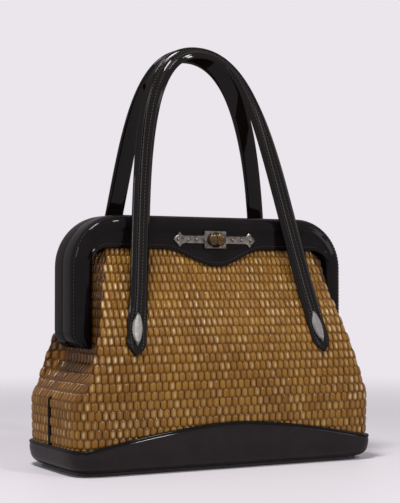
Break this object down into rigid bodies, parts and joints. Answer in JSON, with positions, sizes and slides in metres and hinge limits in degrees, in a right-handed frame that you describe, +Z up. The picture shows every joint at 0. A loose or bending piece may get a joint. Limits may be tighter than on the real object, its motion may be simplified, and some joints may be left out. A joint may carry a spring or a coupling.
{
  "type": "frame handbag",
  "caption": "Woven cane frame handbag with a patent leather base, a hinged rigid frame with a turn-lock clasp, and arched strap handles.",
  "frame": {"origin": "middle of the underside of the sole", "axes": "+Z up, the clasp faces -Y, +X to the right of a viewer who faces the clasp"},
  "size_m": [0.3016, 0.1302, 0.3779],
  "materials": {
    "cane": "varnished cane",
    "lining_cloth": "plain cloth",
    "patent_leather": "patent gloss",
    "sole_leather": "satin",
    "base_board": "raw board",
    "frame_steel": "plain",
    "silver": "polished",
    "pewter": "aged pewter",
    "bronze": "dark bronze"
  },
  "bodies": {
    "body": {"front_panel": "cane", "back_panel": "cane", "left_gusset": "cane", "right_gusset": "cane", "lining": "lining_cloth", "front_base_band": "patent_leather", "back_base_band": "patent_leather", "base_piping": "patent_leather", "left_side_piping": "patent_leather", "right_side_piping": "patent_leather", "left_hinge_patch": "patent_leather", "right_hinge_patch": "patent_leather", "front_left_tab": "patent_leather", "front_right_tab": "patent_leather", "back_left_tab": "patent_leather", "back_right_tab": "patent_leather", "bottom_panel": "sole_leather", "base_board": "base_board", "left_hinge_rivet": "frame_steel", "right_hinge_rivet": "frame_steel", "front_left_tab_pin": "frame_steel", "front_right_tab_pin": "frame_steel", "back_left_tab_pin": "frame_steel", "back_right_tab_pin": "frame_steel", "front_left_stud": "silver", "front_right_stud": "silver", "back_left_stud": "silver", "back_right_stud": "silver"},
    "front_frame": {"front_frame_cover": "patent_leather", "front_frame_steel": "frame_steel", "front_facing": "patent_leather", "clasp_plate": "pewter", "clasp_rivets": "pewter", "clasp_bezel": "bronze"},
    "back_frame": {"back_frame_cover": "patent_leather", "back_frame_steel": "frame_steel", "back_facing": "patent_leather", "catch_hook": "frame_steel"},
    "turn_lock": {"turn_knob": "bronze", "lock_cam": "frame_steel"},
    "front_handle": {"front_handle": "patent_leather"},
    "back_handle": {"back_handle": "patent_leather"}
  },
  "joints": [
    {"name": "front_frame_swing", "type": "hinge", "parent": "body", "child": "front_frame", "pos_m": [0, 0, 0.114], "axis": [1, 0, 0], "range_deg": [0, 26]},
    {"name": "back_frame_swing", "type": "hinge", "parent": "body", "child": "back_frame", "pos_m": [0, 0, 0.114], "axis": [-1, 0, 0], "range_deg": [0, 26]},
    {"name": "front_handle_lean", "type": "hinge", "parent": "body", "child": "front_handle", "pos_m": [0, -0.04849, 0.14], "axis": [1, 0, 0], "range_deg": [0, 39]},
    {"name": "back_handle_lean", "type": "hinge", "parent": "body", "child": "back_handle", "pos_m": [0, 0.04849, 0.14], "axis": [-1, 0, 0], "range_deg": [0, 39]},
    {"name": "knob_turn", "type": "hinge", "parent": "front_frame", "child": "turn_lock", "pos_m": [0, -0.024, 0.201], "axis": [0, 1, 0], "range_deg": [0, 90]}
  ],
  "couplings": [
    {"joint": "front_handle_lean", "follows": "front_frame_swing", "ratio": 1.5},
    {"joint": "back_handle_lean", "follows": "back_frame_swing", "ratio": 1.5}
  ]
}
